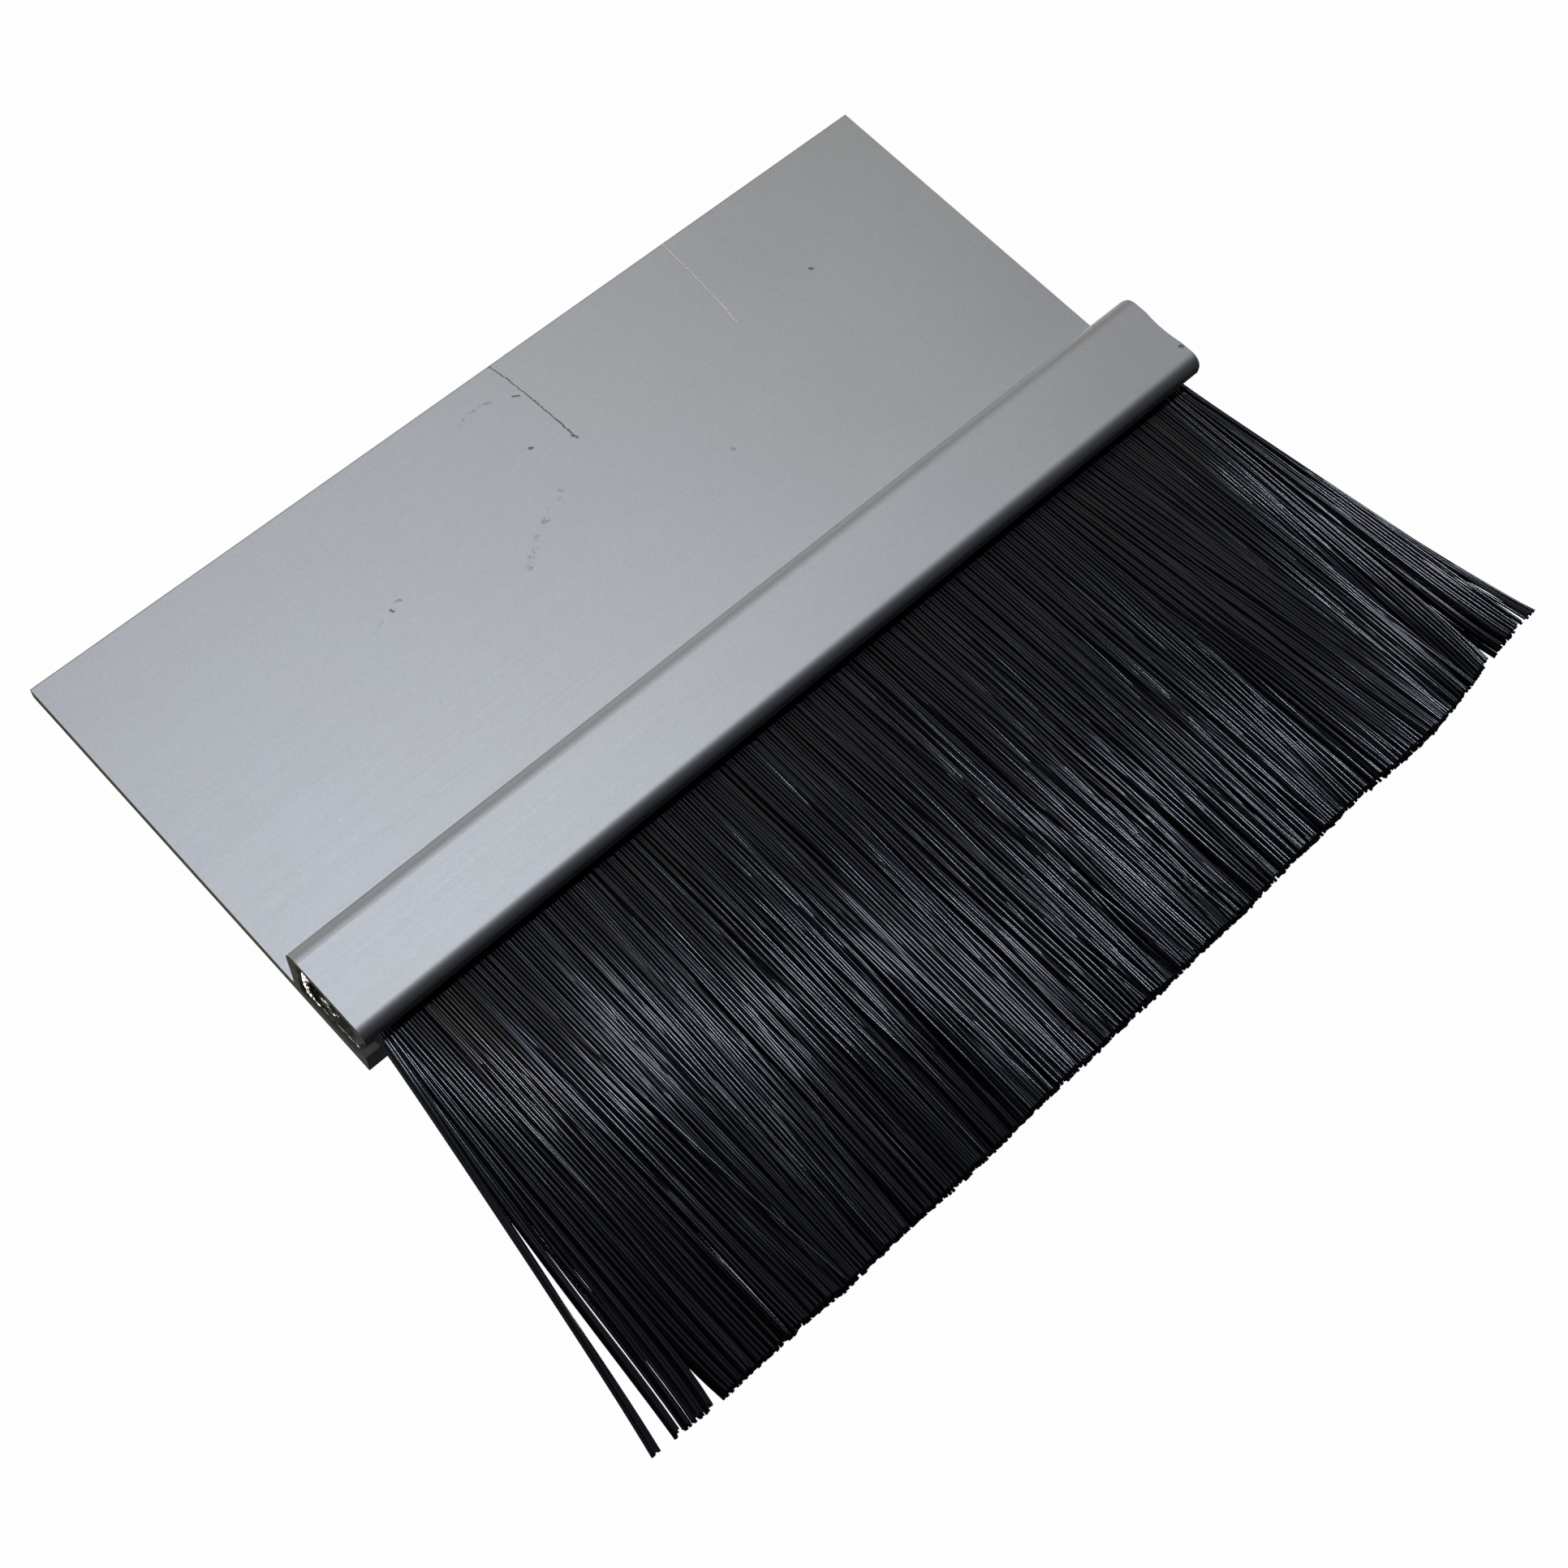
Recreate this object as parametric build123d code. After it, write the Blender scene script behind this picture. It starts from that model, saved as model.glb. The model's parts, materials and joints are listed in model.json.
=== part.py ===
from build123d import *
import math
import os

# Brush door sweep: an aluminium carrier profile with a wide flat flange and a
# C-shaped channel along its lower edge, holding a slide-in strip brush.
#
# Frame: +X runs along the sweep, +Z is up (flange above, filaments below), the
# flat mounting face lies on y = 0 and looks along +Y, the show side looks
# along -Y. Right is +X. The origin is the centre of the mounting face.
# Millimetres.
#
# Shapes are drawn with two helper coordinates: d = depth in front of the
# mounting face (y = -d) and h = height above the carrier's lower edge.

# ---------------------------------------------------------- carrier profile
LENGTH = 150.0          # cut length of the sweep
HEIGHT = 70.5           # full height of the carrier
FLANGE_T = 2.4          # flange, and back wall of the channel
CH_DEPTH = 14.0         # channel, front to back
CH_HEIGHT = 14.5        # channel, top to bottom of its back wall
FRONT_T = 1.5           # front wall of the channel
FRONT_DROP = 0.8        # how far the front wall reaches below the back wall
TOP_T = 1.4             # top wall of the channel
LIP_T = 1.5             # height of the lips' upper faces
MOUTH = 6.6             # gap between the lips
R_TOP = 2.7             # outer radius, channel top front edge
R_BOTTOM = 1.9          # outer radius, channel lower front edge
R_INNER = 0.9           # inner radii of the channel
R_FOOT = 0.6            # fillet where the channel grows out of the flange
R_LIP = 0.35            # broken edges of the lips and of the flange

BASE_Z = -HEIGHT / 2            # z of the lower edge, h = 0
END_X = LENGTH / 2              # right-hand end
IN_FRONT = CH_DEPTH - FRONT_T   # depth of the front wall's inner face
IN_TOP = CH_HEIGHT - TOP_T      # height of the top wall's inner face
MID_D = (FLANGE_T + IN_FRONT) / 2   # centre line of the channel's inside
LIP_BACK = MID_D - MOUTH / 2
LIP_FRONT = MID_D + MOUTH / 2

# ------------------------------------------- right-hand end of the channel
END_CORNER = 1.4        # radius on the upper corner
CORNER_CLEAR = 0.4      # the rounding stops this far in front of the flange
END_DISH = 0.3          # how far the front wall's end is dished in
DISH_R = 20.0
DISH_H = 6.6            # height of the dish's deepest point
STAKE_X = 0.55          # retaining stake: distance in from the end
STAKE_H = 2.65          # and height above the lower edge
STAKE_R = 0.50          # cone radius at its open end
STAKE_TIP_R = 0.12
STAKE_DEEP = 0.35       # cone depth
STAKE_OVER = 0.1        # how far the cutting cone stands out of the wall
BOSS_X = 1.5            # bulge behind the stake: distance in from the end
BOSS_RISE = 0.4         # its height above the stake
BOSS_R = 0.65           # radius at its root
BOSS_TIP_R = 0.35
BOSS_PROUD = 0.2        # how far it stands out inside the channel
BOSS_SUNK = 0.2         # how far its root is sunk in the wall

# -------------------------------------------------------------- strip brush
STRIP_X0 = -LENGTH / 2 + 0.4    # starts just inside the left-hand end
STRIP_X1 = LENGTH / 2 - 2.2     # and stops short of the right-hand end
BACK_W = 9.5            # backing channel, widest
BACK_H = 10.2           # backing channel, height
BACK_T = 0.7            # backing sheet thickness
BACK_FOOT = 2.05        # height of the backing's feet above the lower edge
BACK_R = 3.4            # outer radius of the backing's shoulders
BACK_NIP = 0.85         # how far each foot is nipped in
FOOT_RISE = 1.6         # the lowest part of each foot is this high
FOOT_FLARE = 0.15       # and spreads by this much
NIP_H = 3.4             # the nip ends this far above the feet
SHOULDER_STEPS = 6      # straight pieces in each shoulder
WIRE_D = 2.3            # core wire
WIRE_H = 7.85           # height of the core wire's centre
GAP = 0.06              # working gap between backing, filaments and wire

# ---------------------------------------------------------------- filaments
PACK_T = 5.6            # thickness of the filament pack
ROOT_H = 0.05           # lower face of the roots
NECK_RISE = 0.9         # straight neck of the roots ends this far above the feet
ROOT_END_GAP = 0.05     # outermost roots stop this far inside the strip's ends
FLEX_H = -3.1           # height of the line about which the filaments flex
N_BANKS = 5             # banks that can deflect separately
N_GROUPS = 4            # groups of filaments in a bank
GROUP_GAP = 0.12        # gap between groups of one bank
BANK_GAP = 0.30         # gap between banks
MASK_X = 100.0          # half length of the pack mask, beyond all filaments
MASK_H = -70.0          # its lower end, below all filaments
BEND_POWER = 1.25       # sideways drift grows with this power of the free length

# heights at which the sides of a group are worked out, above its trimmed end
GROUP_HEIGHTS = [0.5, FLEX_H, -12.0, -24.0, -36.0, -48.0]

# trimmed ends of the filaments: (x, height of the ends)
TRIM = [
    (-84.0, -59.2), (-78.0, -59.4), (-70.0, -60.0), (-50.0, -60.6), (-24.0, -60.9),
    (0.0, -60.85), (24.0, -60.5), (34.0, -60.2), (48.0, -59.8), (57.0, -60.2),
    (66.0, -59.1), (72.0, -58.2), (84.0, -57.6),
]
# spread of the filaments: (x at the root, x at the ends)
SPREAD = [
    (-72.6, -76.0), (-65.4, -64.5), (-58.0, -56.6), (-50.0, -50.0), (-40.0, -42.0),
    (-30.0, -31.0), (-20.0, -21.0), (-10.0, -10.8), (0.0, -1.0), (20.0, 18.8),
    (40.0, 38.5), (50.0, 50.5), (60.0, 59.0), (65.1, 65.2), (72.4, 78.8),
]
STRAND_T = 0.9          # thickness of the loose strands
# loose strands beside the pack, top to bottom: (x, height, width)
STRANDS = {
    "left_outer": [(-73.6, -12.0, 0.7), (-74.45, -24.0, 0.9), (-75.9, -36.5, 0.9),
                   (-77.8, -49.0, 0.9), (-79.7, -59.3, 1.0)],
    "left_inner": [(-75.35, -41.0, 0.7), (-76.2, -51.0, 0.9), (-77.2, -59.4, 1.0)],
    "right": [(76.6, -36.0, 0.6), (78.9, -48.0, 0.7), (81.6, -57.6, 0.8)],
}


# ------------------------------------------------------------------ helpers
def section(points):
    """Closed face in the YZ plane from (d, h) points."""
    with BuildSketch(Plane.YZ) as sketch:
        with BuildLine():
            Polyline(*[(-d, h + BASE_Z) for d, h in points], close=True)
        make_face()
    return sketch.sketch


def prism_x(face, x0, x1):
    """Face of the YZ plane extruded from x0 to x1."""
    return Pos(x0, 0, 0) * extrude(face, x1 - x0)


def bar_y(x, d, h, radius, length):
    """Round bar along Y, centred on the given point."""
    return Pos(x, -d, h + BASE_Z) * Rot(90, 0, 0) * Cylinder(radius, length)


def cone_y(x, face_d, h, back_r, front_r, back, front):
    """Cone along Y, reaching back and front from the wall face at depth face_d."""
    y = -face_d + (back - front) / 2
    return Pos(x, y, h + BASE_Z) * Rot(90, 0, 0) * Cone(back_r, front_r, back + front)


def wire_bar(radius, x0, x1):
    """Round bar on the core wire's axis from x0 to x1."""
    centre = Pos((x0 + x1) / 2, -MID_D, WIRE_H + BASE_Z)
    return centre * Rot(0, 90, 0) * Cylinder(radius, x1 - x0)


def with_mirror(half):
    """(d, h) points followed by their mirror image about the channel's middle."""
    return half + [(2 * MID_D - d, h) for d, h in reversed(half)]


def front_shape(left, right):
    """Solid seen from the front between two lines of (x, h) points."""
    points = [(x, h + BASE_Z) for x, h in left + list(reversed(right))]
    with BuildSketch(Plane.XZ) as sketch:
        with BuildLine():
            Polyline(*points, close=True)
        make_face()
    return Pos(0, -MID_D + PACK_T, 0) * extrude(sketch.sketch, 2 * PACK_T)


def lookup(table, x):
    """Straight-line interpolation in a table of (x, value)."""
    for (x0, v0), (x1, v1) in zip(table, table[1:]):
        if x <= x1:
            break
    return v0 + (v1 - v0) * (x - x0) / (x1 - x0)


# ------------------------------------------------------------------ carrier
def round_edges(part, points, radius, tol=0.02):
    """Fillet the edges along X that pass through the (d, h) points."""
    along_x = part.edges().filter_by(Axis.X)
    chosen = []
    for d, h in points:
        for edge in along_x:
            centre = edge.center()
            if abs(centre.Y + d) < tol and abs(centre.Z - h - BASE_Z) < tol:
                chosen.append(edge)
    return fillet(chosen, radius)


def carrier_profile():
    outline = [
        (0, 0), (LIP_BACK, 0), (LIP_BACK, LIP_T), (FLANGE_T, LIP_T),
        (FLANGE_T, IN_TOP), (IN_FRONT, IN_TOP), (IN_FRONT, LIP_T),
        (LIP_FRONT, LIP_T), (LIP_FRONT, -FRONT_DROP), (CH_DEPTH, -FRONT_DROP),
        (CH_DEPTH, CH_HEIGHT), (FLANGE_T, CH_HEIGHT), (FLANGE_T, HEIGHT),
        (0, HEIGHT),
    ]
    # (radius, corners of the outline), in the order they are rounded
    roundings = [
        (R_TOP, [(CH_DEPTH, CH_HEIGHT)]),
        (R_BOTTOM, [(CH_DEPTH, -FRONT_DROP)]),
        (R_INNER, [(IN_FRONT, IN_TOP), (FLANGE_T, IN_TOP),
                   (IN_FRONT, LIP_T), (FLANGE_T, LIP_T)]),
        (R_FOOT, [(FLANGE_T, CH_HEIGHT)]),
        (R_LIP, [(LIP_BACK, 0), (LIP_BACK, LIP_T),
                 (LIP_FRONT, -FRONT_DROP), (LIP_FRONT, LIP_T),
                 (0, HEIGHT), (FLANGE_T, HEIGHT), (0, 0)]),
    ]
    profile = prism_x(section(outline), -LENGTH / 2, LENGTH / 2)
    for radius, points in roundings:
        profile = round_edges(profile, points, radius)
    return profile


def make_carrier():
    # Upper corner of the channel's right-hand end, rounded over.
    corner = Pos(
        END_X - END_CORNER / 2,
        -(CH_DEPTH + FLANGE_T) / 2 - CORNER_CLEAR,
        CH_HEIGHT + BASE_Z - END_CORNER / 2,
    ) * Box(END_CORNER, CH_DEPTH - FLANGE_T, END_CORNER)
    corner_bar = bar_y(END_X - END_CORNER, CH_DEPTH / 2, CH_HEIGHT - END_CORNER,
                       END_CORNER, 2 * CH_DEPTH)
    carrier = carrier_profile() - (corner - corner_bar)

    # Shallow dish in the end of the front wall.
    dish_length = 2 * FRONT_T + 0.2     # cuts just through the front wall
    carrier = carrier - bar_y(END_X + DISH_R - END_DISH, CH_DEPTH, DISH_H, DISH_R, dish_length)

    # Retaining stake: a punch mark in the front wall and the bulge it raises
    # inside, which stops the strip brush leaving at this end.
    boss = cone_y(END_X - BOSS_X, IN_FRONT, STAKE_H + BOSS_RISE,
                  BOSS_TIP_R, BOSS_R, back=BOSS_PROUD, front=BOSS_SUNK)
    punch = cone_y(END_X - STAKE_X, CH_DEPTH, STAKE_H,
                   STAKE_TIP_R, STAKE_R, back=STAKE_DEEP, front=STAKE_OVER)
    return carrier + boss - punch


# ---------------------------------------------------------- backing channel
def backing_half(inset):
    """Back half of the backing's outline offset inwards, foot to top middle."""
    side = BACK_W / 2 - inset
    foot = side - BACK_NIP
    radius = BACK_R - inset
    shoulder_d = MID_D - side + radius
    shoulder_h = BACK_FOOT + BACK_H - inset - radius
    points = [
        (MID_D - foot, BACK_FOOT),
        (MID_D - foot - FOOT_FLARE, BACK_FOOT + FOOT_RISE),
        (MID_D - side, BACK_FOOT + NIP_H),
        (MID_D - side, shoulder_h),
    ]
    for i in range(1, SHOULDER_STEPS + 1):
        angle = math.radians(90 / SHOULDER_STEPS * i)
        points.append((shoulder_d - radius * math.cos(angle),
                       shoulder_h + radius * math.sin(angle)))
    return points


def make_backing():
    """Folded sheet-steel U, mouth down, its feet nipped in on the filaments."""
    outer = with_mirror(backing_half(0.0))
    inner = with_mirror(backing_half(BACK_T))
    return prism_x(section(outer + list(reversed(inner))), STRIP_X0, STRIP_X1)


# ---------------------------------------------------------------- filaments
def bank_span(bank):
    """Root positions of the two sides of a bank, counted from 0 at the left."""
    first, last = SPREAD[0][0], SPREAD[-1][0]
    pitch = (last - first) / N_BANKS
    x0 = first + bank * pitch
    return x0 + BANK_GAP / 2, x0 + pitch - BANK_GAP / 2


def make_root(bank):
    """Folded part of a bank: fills the backing round the wire and comes down
    through the mouth to just above the lower edge."""
    neck_d = MID_D - PACK_T / 2
    neck = [(neck_d, ROOT_H), (neck_d, BACK_FOOT + NECK_RISE)]
    # The neck takes the place of the backing's two foot points.
    face = section(with_mirror(neck + backing_half(BACK_T + GAP)[2:]))
    x0, x1 = bank_span(bank)
    if bank == 0:
        x0 = STRIP_X0 + ROOT_END_GAP
    if bank == N_BANKS - 1:
        x1 = STRIP_X1 - ROOT_END_GAP
    return prism_x(face, x0, x1) - wire_bar(WIRE_D / 2 + GAP, x0 - 1, x1 + 1)


def make_pack_mask():
    """Free length of the pack seen from the side, with a round head centred
    on the flex line so that it can swing without touching the lips."""
    flex_z = FLEX_H + BASE_Z
    end_z = MASK_H + BASE_Z
    with BuildSketch(Plane.YZ) as sketch:
        with Locations((-MID_D, (flex_z + end_z) / 2)):
            Rectangle(PACK_T, flex_z - end_z)
        with Locations((-MID_D, flex_z)):
            Circle(PACK_T / 2)
    return prism_x(sketch.sketch, -MASK_X, MASK_X)


def filament_line(root_x):
    """(x, h) points down the filament rooted at root_x, to its trimmed end."""
    tip_x = lookup(SPREAD, root_x)
    tip_h = lookup(TRIM, tip_x)
    points = []
    for h in GROUP_HEIGHTS:
        fraction = min(h, 0.0) / tip_h
        points.append((root_x + (tip_x - root_x) * fraction ** BEND_POWER, h))
    return points + [(tip_x, tip_h)]


def make_group(bank, i, mask):
    """Group i of a bank, counted from 0 at the left."""
    bank_x0, bank_x1 = bank_span(bank)
    pitch = (bank_x1 - bank_x0) / N_GROUPS
    x0 = bank_x0 + i * pitch
    x1 = bank_x0 + (i + 1) * pitch
    if i > 0:
        x0 += GROUP_GAP / 2
    if i < N_GROUPS - 1:
        x1 -= GROUP_GAP / 2
    return front_shape(filament_line(x0), filament_line(x1)) & mask


def make_strand(stations):
    """Loose strand in the middle of the pack's thickness."""
    body = front_shape([(x - width / 2, h) for x, h, width in stations],
                       [(x + width / 2, h) for x, h, width in stations])
    top, bottom = stations[0][1], stations[-1][1]
    slab = Pos(0, -MID_D, (top + bottom) / 2 + BASE_Z) * Box(
        4 * MASK_X, STRAND_T, top - bottom)
    return body & slab


# ---------------------------------------------------------------- write out
parts = {
    "carrier_extrusion": make_carrier(),
    "backing_channel": make_backing(),
    "core_wire": wire_bar(WIRE_D / 2, STRIP_X0, STRIP_X1),
}
for place, stations in STRANDS.items():
    parts[f"loose_strand_{place}"] = make_strand(stations)
pack_mask = make_pack_mask()
for bank in range(N_BANKS):
    parts[f"filament_root_{bank + 1}"] = make_root(bank)
    for i in range(N_GROUPS):
        number = bank * N_GROUPS + i + 1
        parts[f"filament_group_{number:02d}"] = make_group(bank, i, pack_mask)

os.makedirs("parts", exist_ok=True)
for name, shape in parts.items():
    shape.label = name
    export_step(shape, os.path.join("parts", name + ".step"))
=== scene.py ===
import json
import math

import bpy
import numpy as np
from mathutils import Matrix, Vector


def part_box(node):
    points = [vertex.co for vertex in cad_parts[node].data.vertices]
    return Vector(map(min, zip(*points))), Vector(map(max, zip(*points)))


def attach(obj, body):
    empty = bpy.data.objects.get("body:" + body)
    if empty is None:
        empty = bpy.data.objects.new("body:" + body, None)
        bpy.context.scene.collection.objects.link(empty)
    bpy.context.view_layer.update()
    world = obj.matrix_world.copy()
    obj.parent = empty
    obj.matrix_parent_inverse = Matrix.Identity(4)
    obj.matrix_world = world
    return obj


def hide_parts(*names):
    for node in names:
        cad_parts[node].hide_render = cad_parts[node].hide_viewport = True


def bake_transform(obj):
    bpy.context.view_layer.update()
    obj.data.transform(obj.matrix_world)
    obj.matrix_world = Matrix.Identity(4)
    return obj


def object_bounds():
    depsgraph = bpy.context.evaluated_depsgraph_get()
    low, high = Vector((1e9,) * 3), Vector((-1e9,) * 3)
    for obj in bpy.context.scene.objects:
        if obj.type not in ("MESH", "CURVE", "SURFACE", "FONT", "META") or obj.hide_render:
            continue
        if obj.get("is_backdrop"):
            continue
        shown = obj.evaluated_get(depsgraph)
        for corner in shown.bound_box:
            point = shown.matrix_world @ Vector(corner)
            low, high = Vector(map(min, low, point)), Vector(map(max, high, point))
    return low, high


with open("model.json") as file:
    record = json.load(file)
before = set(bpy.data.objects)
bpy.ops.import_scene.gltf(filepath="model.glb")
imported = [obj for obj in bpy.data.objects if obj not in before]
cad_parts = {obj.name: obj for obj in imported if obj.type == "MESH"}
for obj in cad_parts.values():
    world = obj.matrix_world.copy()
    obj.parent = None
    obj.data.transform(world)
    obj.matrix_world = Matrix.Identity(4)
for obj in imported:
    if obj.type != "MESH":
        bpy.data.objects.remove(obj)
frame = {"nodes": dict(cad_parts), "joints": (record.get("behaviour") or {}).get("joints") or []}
cad_lo, cad_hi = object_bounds()

MM = 0.001
TURN = 2 * math.pi
nodes = frame["nodes"]
scene = bpy.context.scene
rng = np.random.default_rng(20)

# ------------------------------------------------------------------ places
wire_lo, wire_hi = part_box("core_wire")
Z_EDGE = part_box("carrier_extrusion")[1].z - 70.5 * MM   # lower edge of the back wall
EDGE_MM = Z_EDGE / MM
SHEARED_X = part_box("backing_channel")[0].x / MM         # channel's left-hand end
PACK_DEPTH = -((wire_lo.y + wire_hi.y) / 2) / MM        # middle of the strip brush
WIRE_HEIGHT = ((wire_lo.z + wire_hi.z) / 2 - Z_EDGE) / MM
WIRE_RADIUS = (wire_hi.z - wire_lo.z) / 2 / MM

hinges = {j["child"]: j for j in frame["joints"] if j["type"] == "hinge"}
groups = sorted(n for n in nodes if n.startswith("filament_group_"))
GROUPS_PER_BANK = len(groups) // len(hinges)

# Camera and key light, in mm, as the lie of the filaments reckons with them.
EYE = np.array((-117.2, -291.3, -131.7))
KEY_LIGHT = np.array((42.0, -950.0, 170.0))


# ============================================================== node graphs
class Graph:
    """Builds the node tree of a material or a world."""

    def __init__(self, owner):
        owner.use_nodes = True
        self.owner = owner
        self.tree = owner.node_tree
        self.tree.nodes.clear()

    def node(self, kind, inputs=(), **settings):
        """New node; inputs are values or sockets, in order or by key."""
        node = self.tree.nodes.new("ShaderNode" + kind)
        for key, value in settings.items():
            setattr(node, key, value)
        items = inputs.items() if isinstance(inputs, dict) else enumerate(inputs)
        for key, value in items:
            if isinstance(value, bpy.types.NodeSocket):
                self.tree.links.new(value, node.inputs[key])
            else:
                node.inputs[key].default_value = value
        return node

    def principled(self, inputs):
        """Ends the tree in a Principled BSDF and returns the material."""
        shader = self.node("BsdfPrincipled", inputs)
        self.node("OutputMaterial", [shader.outputs[0]])
        return self.owner

    def math(self, operation, *values, clamp=False):
        return self.node("Math", values, operation=operation, use_clamp=clamp).outputs[0]

    def add(self, a, b, clamp=False):
        return self.math("ADD", a, b, clamp=clamp)

    def sub(self, a, b):
        return self.math("SUBTRACT", a, b)

    def mul(self, a, b):
        return self.math("MULTIPLY", a, b)

    def coords(self, kind="Object"):
        return self.node("TexCoord").outputs[kind]

    def split(self, vector):
        return tuple(self.node("SeparateXYZ", [vector]).outputs)

    def true_normal(self):
        return self.split(self.node("NewGeometry").outputs["True Normal"])

    def scaled(self, vector, scale):
        return self.node("Mapping", {"Vector": vector, "Scale": scale}).outputs[0]

    def noise(self, vector, scale=1.0, detail=2.0, rough=0.5, distort=0.0):
        inputs = {"Vector": vector, "Scale": scale, "Detail": detail,
                  "Roughness": rough, "Distortion": distort}
        return self.node("TexNoise", inputs).outputs[0]

    def remap(self, value, span, to=(0.0, 1.0), smooth=False):
        """Maps the range span to the range to, held at its ends."""
        kind = "SMOOTHSTEP" if smooth else "LINEAR"
        return self.node("MapRange", [value, *span, *to], interpolation_type=kind).outputs[0]

    def mix(self, factor, *colours):
        a, b = ((*c, 1.0) if isinstance(c, tuple) else c for c in colours)
        return self.node("Mix", {0: factor, 6: a, 7: b}, data_type="RGBA").outputs[2]

    def bump(self, height, strength, distance):
        inputs = {"Strength": strength, "Distance": distance, "Height": height}
        return self.node("Bump", inputs).outputs[0]

    def attribute(self, name):
        return self.node("Attribute", attribute_name=name).outputs["Fac"]

    def stroke(self, x, z, start, end, half):
        """1 on the line from start to end (x, z in metres), 0 at half away."""
        dx, dz = end[0] - start[0], end[1] - start[1]
        square = dx * dx + dz * dz
        from_x = self.sub(x, start[0])
        from_z = self.sub(z, start[1])
        along = self.add(self.mul(from_x, dx / square), self.mul(from_z, dz / square), clamp=True)
        off_x = self.sub(from_x, self.mul(along, dx))
        off_z = self.sub(from_z, self.mul(along, dz))
        square_off = self.add(self.mul(off_x, off_x), self.mul(off_z, off_z))
        distance = self.math("SQRT", square_off)
        return self.remap(distance, span=(half * 0.35, half), to=(1.0, 0.0), smooth=True)

    def marks(self, x, z, table):
        """All the strokes of a table of marks."""
        mask = None
        for line, half in table:
            points = [(px * MM, pz * MM) for px, pz in line]
            for start, end in zip(points, points[1:]):
                stroke = self.stroke(x, z, start, end, half * MM)
                mask = self.math("MAXIMUM", mask, stroke) if mask else stroke
        return mask


# ================================================================ materials
# Marks on the flange's show face: (x, z) points in mm, and the half width.
MARKS_DARK = [
    ([(3.9, 35.2), (4.6, 31.5), (5.0, 27.0), (5.3, 22.0), (5.5, 17.9)], 0.16),
    ([(5.3, 18.3), (5.6, 17.7)], 0.34),
    ([(3.2, 28.9), (3.9, 28.4)], 0.22),
    ([(-0.7, 20.7), (-0.5, 20.5)], 0.30),
    ([(50.8, 17.5), (51.1, 17.3)], 0.34),
    ([(-31.9, 13.2), (-31.6, 12.8)], 0.26),
]
MARKS_LIGHT = [
    ([(37.2, 35.1), (37.0, 28.0), (36.5, 22.0), (36.1, 17.7)], 0.20),
    ([(36.4, 20.5), (36.0, 17.6)], 0.30),
]
MARKS_FAINT = [
    ([(-6.4, 29.4), (-4.6, 30.4), (-2.2, 30.6), (0.0, 30.2)], 0.45),
    ([(-36.0, 12.0), (-31.0, 13.6), (-30.0, 13.5)], 0.5),
    ([(-14.0, 5.5), (-8.0, 9.5), (-2.0, 12.5)], 0.8),
    ([(20.0, 2.5), (21.0, 1.6)], 0.4),
    ([(-60.0, -14.0), (-59.6, -14.4)], 0.4),
    ([(-58.5, 14.8), (-58.2, 14.5)], 0.4),
]


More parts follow.
